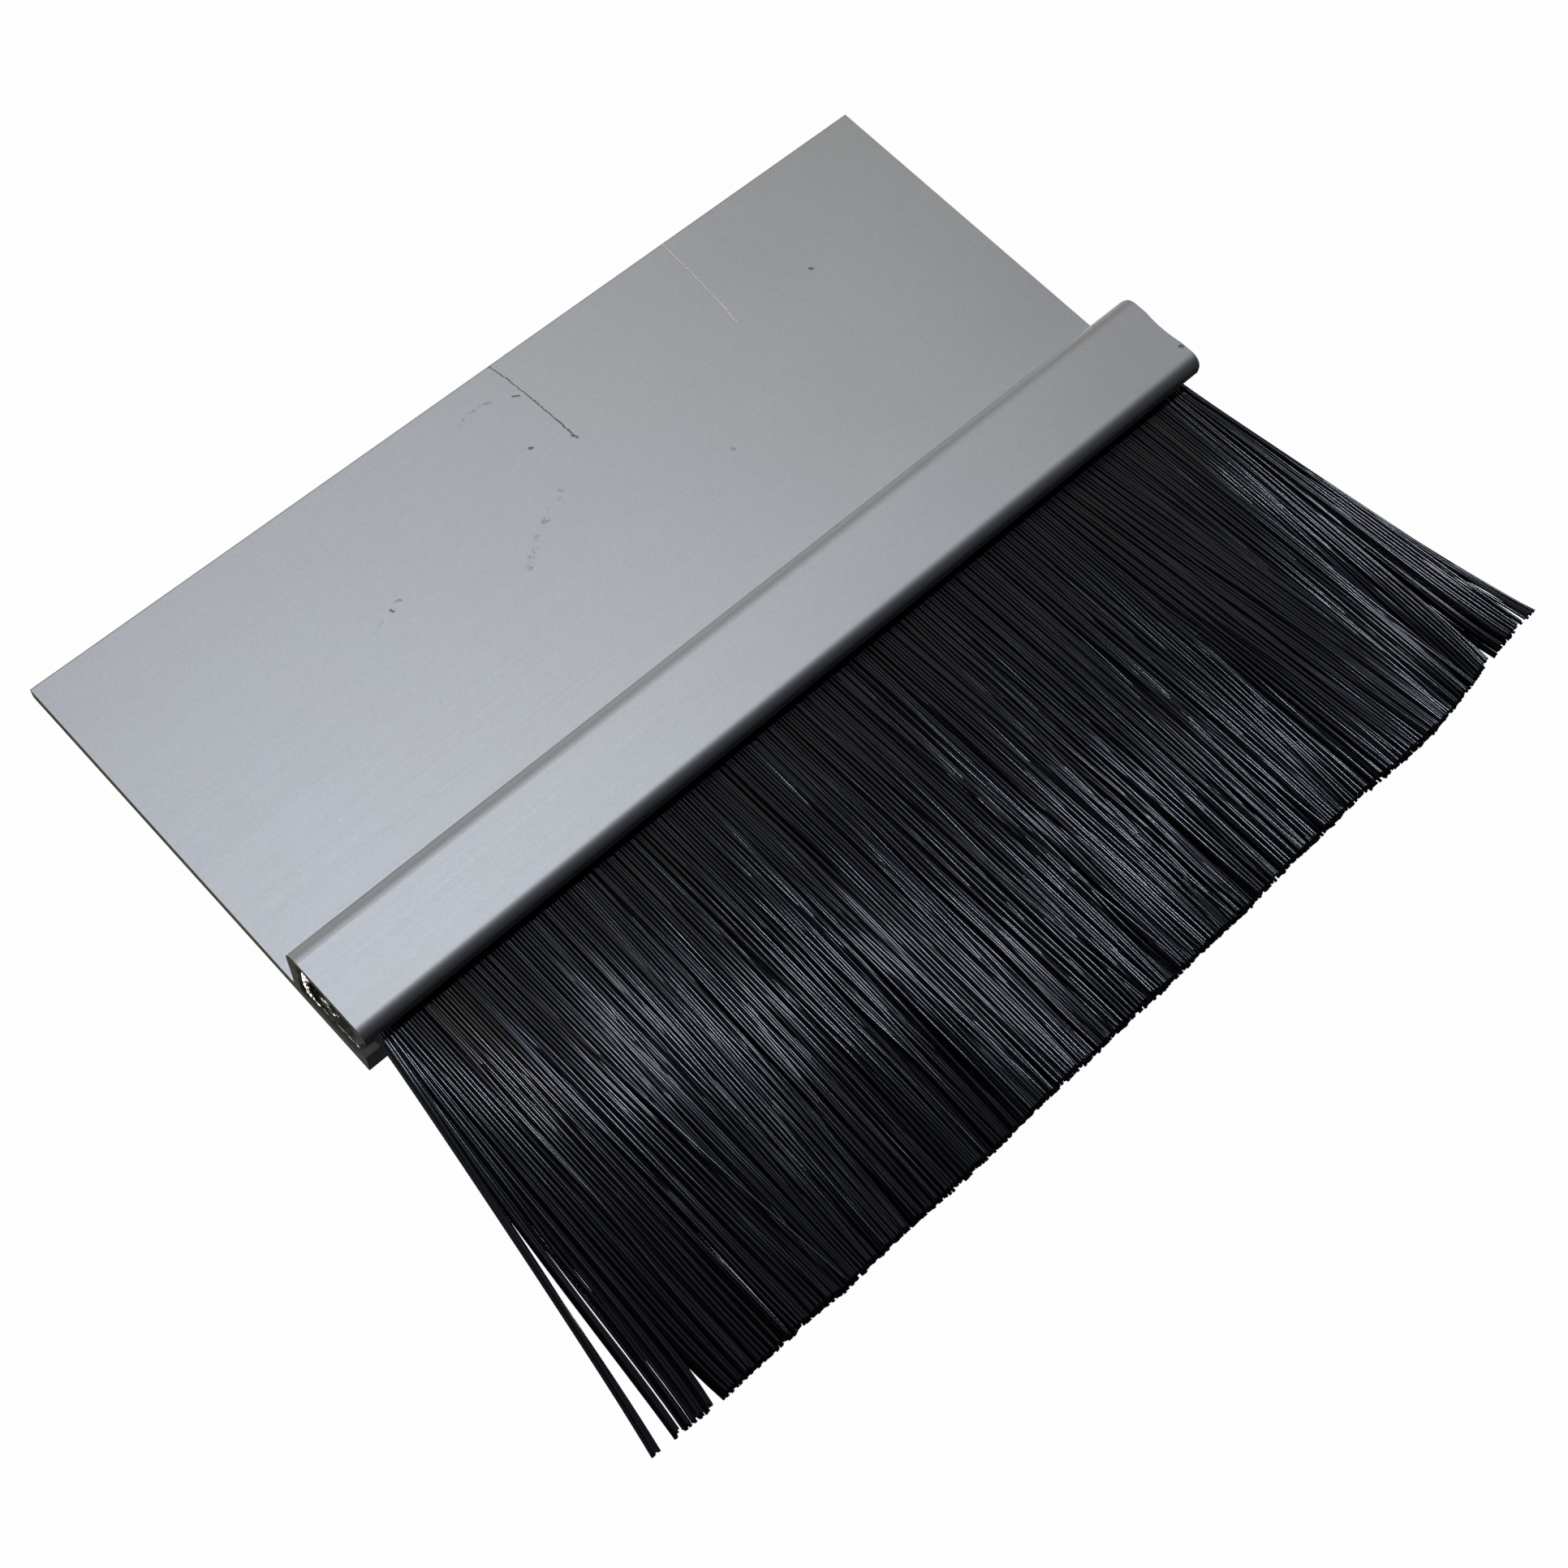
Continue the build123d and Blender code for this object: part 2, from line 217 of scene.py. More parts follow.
def aluminium():
    g = Graph(bpy.data.materials.new("satin_aluminium"))
    p = g.coords()
    x, y, z = g.split(p)
    nx, ny, _ = g.true_normal()
    end_face = g.math("GREATER_THAN", g.math("ABSOLUTE", nx), 0.9)

    # broad mottling of the anodised surface, and its fine grain
    broad = g.noise(p, scale=28.0, detail=3.0, rough=0.55)
    grain = g.noise(g.scaled(p, (0.7, 1.0, 1.0)), scale=3600.0, rough=0.75)
    # die lines along the extrusion: long in X, narrow across
    lines = g.noise(g.scaled(p, (14.0, 3600.0, 3600.0)), detail=3.0, rough=0.55)
    fine = g.noise(g.scaled(p, (160.0, 9000.0, 9000.0)))

    tone = g.add(g.remap(broad, span=(0.3, 0.7), to=(-0.012, 0.012)),
                 g.remap(grain, span=(0.25, 0.75), to=(-0.055, 0.055)))
    tone = g.add(tone, g.remap(lines, span=(0.25, 0.75), to=(-0.012, 0.012)))
    tone = g.add(tone, g.remap(fine, span=(0.25, 0.75), to=(-0.014, 0.014)))
    tone = g.add(tone, 1.0)
    base = g.mix(g.remap(broad, span=(0.35, 0.65)), (0.585, 0.590, 0.600), (0.610, 0.610, 0.610))
    base = g.node("VectorMath", {0: base, "Scale": tone}, operation="SCALE").outputs[0]

    # marks, only on show-side faces further back than y = -3.4 mm
    on_flange = g.mul(g.math("LESS_THAN", ny, -0.8), g.math("GREATER_THAN", y, -0.0034))
    wobble = g.remap(g.noise(g.scaled(p, (900.0, 900.0, 900.0))),
                     span=(0.3, 0.7), to=(-0.00012, 0.00012))
    mark_x = g.add(x, wobble)
    broken = g.remap(g.noise(g.scaled(p, (1.0, 1.0, 2600.0))), span=(0.40, 0.56), to=(0.15, 1.0))
    smudge = g.noise(p, scale=620.0, detail=4.0, rough=0.7, distort=0.6)
    smudge = g.mul(g.remap(smudge, span=(0.50, 0.66)), 1.0)
    dark = g.mul(g.mul(g.marks(mark_x, z, MARKS_DARK), on_flange),
                 g.remap(broken, span=(0.15, 1.0), to=(0.55, 1.0)))
    light = g.mul(g.mul(g.marks(mark_x, z, MARKS_LIGHT), on_flange), broken)
    faint = g.mul(g.mul(g.marks(mark_x, z, MARKS_FAINT), on_flange), smudge)
    for mark, opacity, colour in ((dark, 0.80, (0.050, 0.050, 0.046)),
                                  (faint, 0.55, (0.130, 0.130, 0.130)),
                                  (light, 0.60, (0.86, 0.82, 0.70))):
        base = g.mix(g.mul(mark, opacity), base, colour)

    # cut ends, with the blade's marks across them: painted shade, a dull dark olive that does not
    # reflect, mottled at random
    saw = g.noise(g.scaled(p, (10.0, 900.0, 5200.0)), detail=3.0, rough=0.6)
    cut_end_mottle = g.noise(p, scale=1100.0, detail=3.0, rough=0.6)
    cut_end_painted_shade = g.mix(g.remap(cut_end_mottle, span=(0.35, 0.65)), (0.165, 0.160, 0.124), (0.290, 0.280, 0.220))
    bare = g.sub(1.0, end_face)

    rough = g.add(g.remap(broad, span=(0.3, 0.7), to=(0.565, 0.59)),
                  g.remap(lines, span=(0.3, 0.7), to=(-0.01, 0.01)))
    # relief: lines and grain stand up, marks are cut in
    height = g.add(g.mul(lines, 0.12), g.mul(fine, 0.10))
    height = g.add(height, g.mul(grain, 0.35))
    height = g.sub(height, g.mul(dark, 3.0))
    height = g.sub(height, g.mul(light, 2.0))
    height = g.add(height, g.mul(g.mul(saw, end_face), 0.3))
    return g.principled({
        # end faces take the painted shade colour, with no metal and no specular
        "Base Color": g.mix(end_face, base, cut_end_painted_shade),
        "Metallic": bare,
        "Specular IOR Level": g.mul(bare, 0.5),
        "Roughness": g.add(rough, g.mul(end_face, 0.02)),
        "Normal": g.bump(height, strength=0.35, distance=0.00002)})


def galvanised(name, glint, roughness):
    """Spangled zinc; glint is the colour of the bright metal on cut ends."""
    g = Graph(bpy.data.materials.new(name))
    p = g.coords()
    end_face = g.math("GREATER_THAN", g.math("ABSOLUTE", g.true_normal()[0]), 0.8)
    spangle = g.node("TexVoronoi", {"Vector": p, "Scale": 900.0}).outputs["Color"]
    spangle_tone, spangle_rough, _ = g.split(spangle)
    stain = g.noise(p, scale=420.0, detail=4.0, rough=0.6)
    fine = g.noise(p, scale=6000.0, rough=0.6)
    base = g.mix(spangle_tone, (0.44, 0.44, 0.41), (0.66, 0.66, 0.62))
    base = g.mix(g.remap(stain, span=(0.52, 0.72), to=(0.0, 0.6)), base, (0.22, 0.20, 0.15))
    # cut ends: painted shade, a dark dull brown that does not reflect, broken by bright metal
    # where the shear tore the zinc
    torn = g.remap(g.noise(p, scale=820.0, rough=0.6), span=(0.46, 0.60), smooth=True)
    base = g.mix(end_face, base, g.mix(torn, (0.130, 0.105, 0.080), glint))
    bare = g.math("MAXIMUM", torn, g.sub(1.0, end_face))
    height = g.add(g.mul(stain, 2.0), fine)
    ragged = g.mul(g.mul(g.noise(p, scale=2600.0, detail=3.0, rough=0.7), end_face), 22.0)
    return g.principled({
        "Base Color": base,
        "Metallic": bare,
        "Specular IOR Level": g.mul(bare, 0.5),
        "Roughness": g.remap(spangle_rough, span=(0.0, 1.0), to=(roughness, roughness + 0.16)),
        "Normal": g.bump(g.add(height, ragged), strength=0.6, distance=0.00002)})


def zinc_burr():
    g = Graph(bpy.data.materials.new("zinc_burr"))
    p = g.coords()
    torn = g.noise(p, scale=1500.0, detail=3.0, rough=0.65)
    bright = g.remap(torn, span=(0.44, 0.56), smooth=True)
    lumps = g.noise(p, scale=3200.0, detail=3.0, rough=0.6)
    return g.principled({
        "Base Color": g.mix(bright, (0.16, 0.13, 0.10), (0.82, 0.82, 0.62)),
        "Metallic": bright,
        "Roughness": g.remap(torn, span=(0.3, 0.7), to=(0.50, 0.26)),
        "Normal": g.bump(lumps, strength=0.5, distance=0.0001)})


def black_filament():
    g = Graph(bpy.data.materials.new("black_filament"))
    tint = g.attribute("fil_tint")
    cut = g.attribute("fil_cut")
    soft = g.attribute("fil_soft")
    p = g.coords()
    z = g.split(p)[2]
    # extruded skin: slight waviness along each length, and a little dust
    own = g.node("CombineXYZ", [g.mul(tint, 977.0), 0.5, g.mul(z, 190.0)]).outputs[0]
    wave = g.noise(own, detail=0.0, rough=0.4)
    dust = g.noise(p, scale=1500.0, rough=0.6)
    # a few filaments are olive, most of all near the roots
    near = g.remap(z, span=(-0.060, -0.044), to=(0.30, 1.0))
    base = g.mix(g.mul(near, g.remap(tint, span=(0.94, 1.0))),
                 (0.0165, 0.0175, 0.0232), (0.0250, 0.0235, 0.0185))
    base = g.mix(g.remap(dust, span=(0.60, 0.80), to=(0.0, 0.25)), base, (0.030, 0.032, 0.036))
    rough = g.add(g.remap(tint, span=(0.0, 1.0), to=(0.15, 0.19)), g.mul(soft, 0.03))
    return g.principled({
        "Base Color": g.mix(cut, base, (0.0060, 0.0060, 0.0064)),
        "Roughness": g.add(rough, g.mul(cut, 0.30)),
        "IOR": g.remap(soft, span=(0.0, 1.0), to=(1.60, 1.68)),
        "Specular Tint": g.mix(g.mul(near, g.remap(tint, span=(0.92, 0.97))),
                               (0.90, 0.93, 1.0), (1.0, 0.97, 0.86)),
        "Normal": g.bump(wave, strength=1.0, distance=0.00005)})


ALUMINIUM = aluminium()
SHEET = galvanised("galvanised_sheet", glint=(0.40, 0.39, 0.27), roughness=0.34)
BURR = zinc_burr()
WIRE = galvanised("galvanised_wire", glint=(0.46, 0.45, 0.32), roughness=0.32)
FILAMENT = black_filament()


def paint(obj, material):
    obj.data.materials.clear()
    obj.data.materials.append(material)


def add_object(name, data, material=None):
    obj = bpy.data.objects.new(name, data)
    scene.collection.objects.link(obj)
    if material:
        paint(obj, material)
    return obj


paint(nodes["carrier_extrusion"], ALUMINIUM)
paint(nodes["backing_channel"], SHEET)
paint(nodes["core_wire"], WIRE)

# ================================================================ filaments
# Each filament is one tube folded over the core wire: tip, up through the
# mouth, round the wire and down to the other tip.
DIAMETER = 0.46
SIDES = 6
LAYERS = 5                          # layers of filaments over the wire
LAYER_PITCH = 0.47
PER_LAYER = 290
ROOT_LO, ROOT_HI = -72.75, 73.15    # x of the outermost roots
FREE_LENGTH = 62.0                  # nominal length of a free leg
STATIONS = np.concatenate([np.linspace(0.0, 59.4, 28), [61.93, FREE_LENGTH]]) / FREE_LENGTH
PACK_Y = -10.5                      # y of the pack for the reckoning of glints
WIRE_GAP = 0.12                     # between the wire and the first layer
NECK_START = 0.8                    # height where the legs begin to part round the wire

# root x, x of the trimmed end; the jumps part the strands at the two ends
# from the field
SPREAD = np.array([
    (-72.75, -80.45), (-72.29, -79.85), (-72.27, -77.00), (-71.80, -76.60), (-71.78, -75.80),
    (-70.2, -70.90), (-66.0, -65.4), (-60.0, -58.6), (-55.0, -53.6), (-50.0, -50.0),
    (-45.0, -46.8), (-40.0, -42.4), (-35.0, -36.0), (-30.0, -30.8), (-20.0, -20.8),
    (-10.0, -10.8), (0.0, -0.9), (10.0, 9.2), (20.0, 18.8), (30.0, 28.7), (40.0, 38.4),
    (46.0, 45.6), (50.0, 50.6), (55.0, 55.0), (60.0, 59.4), (64.0, 63.6), (67.0, 67.2),
    (70.65, 72.1), (71.6, 73.9), (72.58, 76.4), (72.62, 79.20), (73.15, 79.50)])
# partings between neighbouring bundles: root x, width, power of the length,
# reach to each side
PARTINGS = [(-70.2, 2.0, 9.0, 2.0), (70.65, 2.0, 9.0, 2.0),
            (-49.0, 0.4, 3.0, 1.5), (12.0, 0.4, 3.0, 1.2)]
# x of the end, free length below the carrier's edge
TRIM = np.array([
    (-84.0, 59.15), (-78.0, 59.35), (-74.0, 59.6), (-70.0, 59.95), (-62.0, 60.2),
    (-50.0, 60.6), (-38.0, 60.75), (-24.0, 60.9), (0.0, 60.85), (12.0, 60.7), (24.0, 60.5),
    (34.0, 60.2), (42.0, 60.1), (45.5, 60.9), (53.0, 61.0), (56.5, 60.6), (66.0, 59.1),
    (72.0, 58.2), (78.0, 57.9), (84.0, 57.6)])
# root x, how the spread sets in: 1 is a straight fan, more is later, less is
# earlier
FAN = np.array([
    (-80.0, 1.08), (-72.29, 1.08), (-72.27, 0.62), (-71.0, 0.90), (-69.0, 1.1), (-66.0, 1.25),
    (-50.0, 1.4), (50.0, 1.4), (64.0, 1.3), (69.0, 1.15), (71.0, 0.95), (72.58, 0.60),
    (72.62, 1.27), (80.0, 1.27)])
# Lie of the field out of its plane. The slope of a filament (depth per
# length) is M - A * tanh((s - S) / W), where s is the distance from the root,
# S the place where the field turns face on to the light, and M the face-on
# slope plus dM. Columns: root x, S, dM, A, W.
LIE = np.array([
    (-78.0, 6.0, 0.0, 0.055, 9.0), (-72.0, 6.5, 0.0, 0.050, 10.0),
    (-69.5, 10.0, 0.0, 0.055, 10.0), (-67.5, 15.0, 0.002, 0.060, 10.0),
    (-65.0, 18.0, 0.0, 0.060, 10.0), (-60.0, 23.0, 0.0, 0.055, 12.0),
    (-55.0, 24.0, 0.0, 0.055, 12.0), (-50.0, 20.5, 0.0, 0.050, 12.0),
    (-45.0, 27.5, 0.0, 0.045, 14.0), (-40.0, 28.5, 0.0, 0.048, 13.0),
    (-35.0, 29.5, 0.004, 0.048, 13.0), (-30.0, 28.5, 0.0, 0.048, 13.0),
    (-25.0, 28.5, 0.0, 0.045, 13.0), (-20.0, 36.5, 0.0, 0.040, 14.0),
    (-15.0, 44.5, 0.0, 0.022, 16.0), (-10.0, 44.0, 0.0, 0.022, 16.0),
    (-5.0, 45.0, 0.0, 0.020, 17.0), (0.0, 49.5, 0.0, 0.024, 16.0),
    (5.0, 40.0, 0.0, 0.022, 16.0), (10.0, 41.0, 0.002, 0.026, 15.0),
    (15.0, 45.0, 0.0, 0.030, 14.0), (20.0, 40.0, 0.0, 0.030, 14.0),
    (25.0, 43.0, 0.004, 0.032, 13.0), (30.0, 54.0, 0.0, 0.026, 14.0),
    (35.0, 44.0, 0.006, 0.028, 14.0), (40.0, 45.5, 0.0, 0.028, 14.0),
    (42.5, 49.0, 0.012, 0.026, 15.0), (46.0, 60.0, 0.042, 0.020, 18.0),
    (50.0, 60.0, 0.040, 0.020, 18.0), (55.5, 58.0, 0.036, 0.022, 16.0),
    (57.5, 47.0, 0.004, 0.040, 10.0), (60.0, 47.0, 0.0, 0.045, 10.0),
    (62.5, 44.0, 0.004, 0.040, 11.0), (63.6, 44.0, 0.010, 0.034, 12.0),
    (64.6, 22.0, 0.0, 0.075, 9.0), (66.5, 20.0, 0.0, 0.075, 9.0),
    (68.0, 20.0, 0.010, 0.040, 14.0), (70.2, 22.0, 0.008, 0.012, 20.0),
    (71.4, 22.0, 0.038, 0.010, 20.0), (78.0, 27.0, 0.038, 0.006, 20.0)])


def look_up(table, x):
    return np.interp(x, *table.T)


def layer_place(layer):
    """Distance of a layer's legs from the middle of the pack."""
    return 0.26 + LAYER_PITCH * layer


def spread_at(root, u):
    """Share of the spread reached at u of the length, and its rate."""
    fan = look_up(FAN, root)
    power = np.maximum(fan, 1.0)
    early = (1.0 - np.minimum(fan, 1.0)) * 1.45
    share = u ** power + early * (u - u * u)
    rate = power * np.maximum(u, 1e-6) ** (power - 1.0) + early * (1.0 - 2.0 * u)
    return share, rate


def face_on(root, end, s):
    """Slope at which a filament glints towards the eye at s from its root."""
    share, rate = spread_at(root, s / FREE_LENGTH)
    lean = (end - root) / FREE_LENGTH * rate
    point = np.stack([root + (end - root) * share, np.full_like(root, PACK_Y), EDGE_MM - s], -1)
    view = EYE - point
    light = KEY_LIGHT - point
    half = (view / np.linalg.norm(view, axis=-1, keepdims=True)
            + light / np.linalg.norm(light, axis=-1, keepdims=True))
    return (lean * half[:, 0] - half[:, 2]) / half[:, 1]


def smooth_noise(seed, x, pitch):
    """Smooth random function of x with the given pitch, about -1 to 1."""
    count = 400
    values = np.random.default_rng(seed).uniform(-1, 1, count)
    u = (x + 100.0) / pitch
    i = np.floor(u).astype(int)
    f = u - i
    f = f * f * (3 - 2 * f)
    return values[i % count] * (1 - f) + values[(i + 1) % count] * f


def clumps(seed, position):
    """The clump at each position: its middle, two random shifts (sideways and
    in lie), and the phase and number of its waves."""
    r = np.random.default_rng(seed)
    edges, x = [], ROOT_LO
    while x < ROOT_HI + 5:
        edges.append(x)
        x += r.uniform(0.9, 3.1)
    edges = np.array(edges)
    count = len(edges) + 1
    middles = np.concatenate([[edges[0]], (edges[:-1] + edges[1:]) / 2, [edges[-1]]])
    tables = (middles, r.normal(0, 1, count), r.normal(0, 1, count),
              r.uniform(0, TURN, count), r.uniform(0.7, 1.8, count))
    which = np.searchsorted(edges, position)
    return [table[which] for table in tables]


def leg_x(r, root, end, layer, clump):
    """x along each leg, and which legs run wild."""
    count = len(root)
    u = STATIONS[None, :]
    middle, shift = clump[:2]
    x = root[:, None] + (end - root)[:, None] * spread_at(root[:, None], u)[0]
    for part_x, gap, power, reach in PARTINGS:
        push = np.sign(root - part_x) * 0.5 * gap * np.exp(-np.abs(root - part_x) / reach)
        x = x + push[:, None] * u ** power
    # clumps stick together towards their ends
    pull = np.clip(middle - root, -1.6, 1.6)
    inner = np.clip(np.minimum(root + 70.2, 69.4 - root) / 4.0, 0.0, 1.0)
    ends = np.clip(np.minimum(root - ROOT_LO, ROOT_HI - root) / 1.0, 0.10, 1.0)
    x = x + (pull * 0.25 * inner)[:, None] * u ** 1.5
    x = x + (shift * 0.45 * inner)[:, None] * u ** 1.6
    # each filament's own drift, and slow waves
    drift = r.normal(0, 0.34, count)
    wild = (r.random(count) < (0.07 if layer >= LAYERS - 2 else 0.02)) & (inner > 0.4)
    drift = np.where(wild, r.normal(0, 1.7, count), drift) * np.maximum(inner, 0.25 * ends)
    x = x + drift[:, None] * u ** 1.4
    phase, waves = r.uniform(0, TURN, count), r.uniform(0.8, 2.6, count)
    swing = r.normal(0, 0.09, count) * np.maximum(inner, 0.4 * ends)
    x = x + swing[:, None] * (np.sin(TURN * waves[:, None] * u + phase[:, None])
                              - np.sin(phase)[:, None]) * np.minimum(u * 3, 1)
    return x, wild


def leg_depth(r, root, end, s, place, front, clump, wild):
    """Depth along each leg, at distances s from its root."""
    count = len(root)
    u = STATIONS[None, :]
    _, shift, lie_shift, clump_phase, clump_waves = clump
    # the pack widens from the neck down; the end strands narrow
    strand = (root > 72.6) | (root < -72.28)
    width = 1.0 + np.where(strand, -0.5, 0.22)[:, None] * u ** 1.2
    depth = PACK_DEPTH + place[:, None] * width

    # lie of the field, with clumps and filaments that differ from it
    turn, slope_shift, swing, reach = (np.interp(root, LIE[:, 0], c) for c in LIE.T[1:])
    even = np.interp(root, (-50.0, -22.0), (1.0, 0.0))      # 1 where the pack lies evenly
    scatter = 4.0 - 1.5 * even
    slope = face_on(root, end, turn) + slope_shift
    slope = slope + (0.004 + 0.003 * even) * smooth_noise(12, root, 5.0)
    turn = turn + 3.0 * smooth_noise(11, root, 4.0) + scatter * lie_shift
    turn = turn + r.normal(0, 1, count) * scatter
    slope = slope - 0.008 + (0.004 + 0.002 * even) * shift + r.normal(0, 0.005, count)
    slope = np.where(wild, slope + r.uniform(-0.02, 0.035, count), slope)

    def integral(v):
        bend = np.log(np.cosh((v - turn[:, None]) / reach[:, None]))
        return slope[:, None] * v - (swing * reach)[:, None] * bend

    depth = depth + integral(s) - integral(np.zeros_like(s))

    # slow waves: shared by a clump, then the filament's own, long and short
    ease = np.minimum(u * 5, 1)
    clump_wave = np.sin(TURN * clump_waves[:, None] * u + clump_phase[:, None])
    depth = depth + 0.08 * clump_wave * ease
    calm = np.interp(root, (70.6, 71.4), (1.0, 0.45))
    for tilt, fewest, most in ((0.020 - 0.011 * even, 1.0, 1.9),
                               (0.013 - 0.003 * even, 3.0, 5.5)):
        phase, waves = r.uniform(0, TURN, count), r.uniform(fewest, most, count)
        size = r.normal(0, 1, count) * calm * tilt * FREE_LENGTH / (TURN * waves)
        size = size * (1.0 if front else 0.5)
        depth = depth + size[:, None] * np.sin(TURN * waves[:, None] * u + phase[:, None]) * ease
    outward = np.abs(r.normal(0, 0.05, count)) * (1.0 if front else -1.0)
    return np.maximum(depth + outward[:, None] * u, 0.45)


def leg(root, layer, front, key):
    """Centre lines (filament, station, 3) of the free legs; front legs lie on
    the show side."""
    count = len(root)
    r = np.random.default_rng(1000 + key)
    u = STATIONS[None, :]
    end = look_up(SPREAD, root)
    length = look_up(TRIM, end) + r.normal(0, 0.03, count)
    # a few are cut short
    length = length - np.where(r.random(count) < 0.008, r.uniform(0.1, 0.4, count), 0.0)
    s = u * length[:, None]
    seed = 50 + (layer // 2) * 7 + (0 if front else 90)
    clump = clumps(seed, root + r.normal(0, 0.12, count))
    x, wild = leg_x(r, root, end, layer, clump)
    place = (1.0 if front else -1.0) * layer_place(layer) + r.normal(0, 0.10, count)
    depth = leg_depth(r, root, end, s, place, front, clump, wild)
    # at the right-hand end the strands part along the line the pack is seen on
    edge = np.interp(root, (64.0, 69.0, 70.64, 70.8, 72.59, 72.61),
                     (0.0, 0.62, 0.62, 0.35, 0.35, 0.66))
    x = x - (edge * place)[:, None] * u ** 1.3
    return np.stack([x, depth, -s], -1)


def folded(root, layer):
    """Whole filaments, tip to tip."""
    r = np.random.default_rng(5000 + layer)
    count = len(root)
    jitter = r.normal(0, 0.05, (2, count))
    front = leg(root + jitter[0], layer, True, layer * 2)
    rear = leg(root + jitter[1], layer, False, layer * 2 + 1)
    radius = WIRE_RADIUS + WIRE_GAP + DIAMETER / 2 + LAYER_PITCH * layer + r.normal(0, 0.03, count)
    necks = []
    for sign, start in ((1.0, front), (-1.0, rear)):
        rows = []
        for share in (0.12, 0.42, 0.72):
            height = share * WIRE_HEIGHT
            w = min(1.0, max(0.0, (height - NECK_START) / (WIRE_HEIGHT - NECK_START)))
            w = w * w * (3 - 2 * w)
            depth = PACK_DEPTH + sign * (layer_place(layer) * (1 - w) + radius * w)
            x = start[:, 0, 0] * (1 - w) + root * w
            rows.append(np.stack([x, depth, np.full(count, height)], -1))
        necks.append(np.stack(rows, 1))
    arc = []
    for degrees in (0.0, 45.0, 90.0, 135.0, 180.0):
        angle = math.radians(degrees)
        arc.append(np.stack([root, PACK_DEPTH + radius * math.cos(angle),
                             WIRE_HEIGHT + radius * math.sin(angle)], -1))
    return np.concatenate([front[:, ::-1], necks[0], np.stack(arc, 1),
                           necks[1][:, ::-1], rear], 1)


def tubes(paths, tints, softs, name):
    """One mesh of closed tubes along paths (filament, station, 3)."""
    n, m, _ = paths.shape
    points = paths * (1.0, -1.0, 1.0)
    points[..., 2] += EDGE_MM
    along = np.gradient(points, axis=1)
    along /= np.linalg.norm(along, axis=-1, keepdims=True)
    side = np.zeros_like(along)
    side[..., 0] = 1.0
    side -= along * np.sum(side * along, -1, keepdims=True)
    side /= np.linalg.norm(side, axis=-1, keepdims=True)
    up = np.cross(along, side)
    angle = (np.arange(SIDES) * 2 * math.pi / SIDES)[None, None, :, None]
    rings = points[:, :, None, :] + DIAMETER / 2 * (
        np.cos(angle) * side[:, :, None, :] + np.sin(angle) * up[:, :, None, :])
    verts = rings.reshape(-1, 3) * MM

    ring = (np.arange(n)[:, None, None] * m + np.arange(m - 1)[None, :, None]) * SIDES
    k = np.arange(SIDES)[None, None, :]
    k2 = (k + 1) % SIDES
    quads = np.stack([ring + k, ring + k2, ring + SIDES + k2, ring + SIDES + k], -1)
    tube = np.arange(n)[:, None] * m * SIDES
    first = tube + np.arange(SIDES)[::-1][None, :]
    last = tube + (m - 1) * SIDES + np.arange(SIDES)[None, :]
    loops = np.concatenate([quads.ravel(), first.ravel(), last.ravel()])
    walls = quads.size // 4
    starts = np.concatenate([np.arange(walls) * 4, walls * 4 + np.arange(2 * n) * SIDES])
    is_cut = np.arange(len(starts)) >= walls

    mesh = bpy.data.meshes.new(name)
    mesh.vertices.add(len(verts))
    mesh.vertices.foreach_set("co", verts.astype(np.float32).ravel())
    mesh.loops.add(len(loops))
    mesh.loops.foreach_set("vertex_index", loops.astype(np.int32))
    mesh.polygons.add(len(starts))
    mesh.polygons.foreach_set("loop_start", starts.astype(np.int32))
    mesh.polygons.foreach_set("use_smooth", ~is_cut)
    mesh.update(calc_edges=True)
    mesh.validate()
    for label, domain, values in (("fil_tint", "POINT", np.repeat(tints, m * SIDES)),
                                  ("fil_soft", "POINT", np.repeat(softs, m * SIDES)),
                                  ("fil_cut", "FACE", is_cut)):
        attribute = mesh.attributes.new(label, "FLOAT", domain)
        attribute.data.foreach_set("value", values.astype(np.float32))
    return add_object(name, mesh, FILAMENT)


def filament_field():
    """Paths, root x, tint and softness of every filament."""
    paths, roots, tints = [], [], []
    step = (ROOT_HI - ROOT_LO) / PER_LAYER
    for layer in range(LAYERS):
        stagger = ((0.618 * layer) % 1.0 - 0.5) * 0.9
        root = ROOT_LO + (np.arange(PER_LAYER) + 0.5 + stagger) * step
        loose = np.clip(np.minimum(root - ROOT_LO, ROOT_HI - root) / 3.0, 0.1, 1.0)
        root = np.clip(root + rng.normal(0, 0.07, PER_LAYER) * loose, ROOT_LO, ROOT_HI)
        root.sort()
        paths.append(folded(root, layer))
        roots.append(root)
        tints.append(rng.random(PER_LAYER))
    roots, tints = np.concatenate(roots), np.concatenate(tints)
    # an olive patch near the left-hand end
    patch = (roots > -66.5) & (roots < -60.0) & (rng.random(len(roots)) < 0.45)
    tints = np.where(patch, 0.98, tints)
    softs = np.interp(roots, (-72.0, -66.0, -50.0, -22.0), (0.3, 0.6, 0.5, 0.0))
    return np.concatenate(paths), roots, tints, softs


def group_of(roots):
    """Index of the CAD group each root belongs to."""
    tops = []
    for group in groups:
        co = np.array([v.co for v in nodes[group].data.vertices]) / MM
        top_x = co[co[:, 2] > co[:, 2].max() - 3.2, 0]
        tops.append((top_x.min(), top_x.max()))
    cuts = [(a[1] + b[0]) / 2 for a, b in zip(tops, tops[1:])]
    return np.searchsorted(np.array(cuts), roots)


# ============================================================ sheared metal
# Zinc smeared over the left-hand end of the sheet and of the wire:
# (depth from the pack's middle, height) in mm.
SHEET_BURR = [(-4.1, 9.2), (-3.6, 10.9), (-1.6, 11.8), (1.2, 11.8), (3.4, 11.1),
              (4.3, 9.6), (4.4, 8.6)]
WIRE_BURR = [(-0.9, 6.9), (0.2, 6.5), (1.2, 5.6), (1.5, 4.9)]


